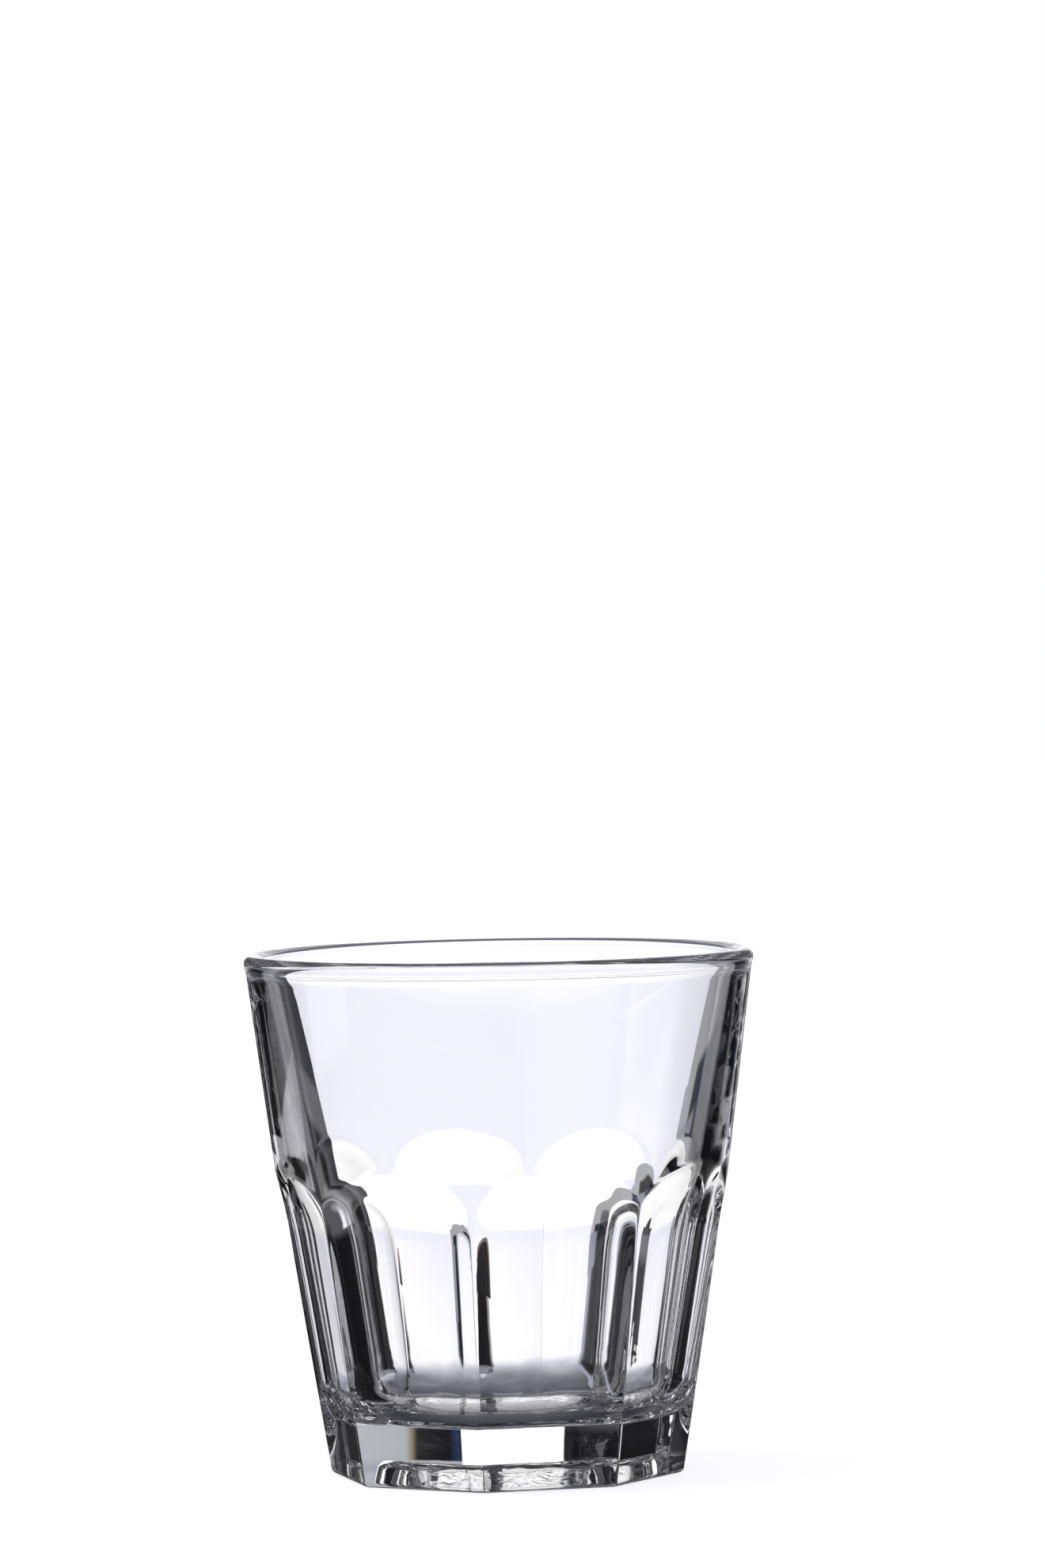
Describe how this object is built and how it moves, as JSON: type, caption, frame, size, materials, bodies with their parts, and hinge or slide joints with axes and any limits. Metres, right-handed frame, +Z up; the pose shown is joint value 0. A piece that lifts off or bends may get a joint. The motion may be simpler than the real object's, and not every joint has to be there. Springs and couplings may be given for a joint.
{
  "type": "juice glass",
  "caption": "Clear pressed-glass tumbler: plain flared wall with a rounded lip above, flat arched flutes below, and a thick foot, recessed underneath.",
  "frame": {"origin": "middle of the foot, on the table", "axes": "+Z up through the mouth; two flutes meet in a ridge on each of -X, +X, -Y and +Y"},
  "size_m": [0.0794, 0.0794, 0.0817],
  "materials": {
    "clear_glass": "clear, colourless soda-lime glass, fire-polished"
  },
  "bodies": {
    "root": {"tumbler": "clear_glass"}
  },
  "joints": []
}
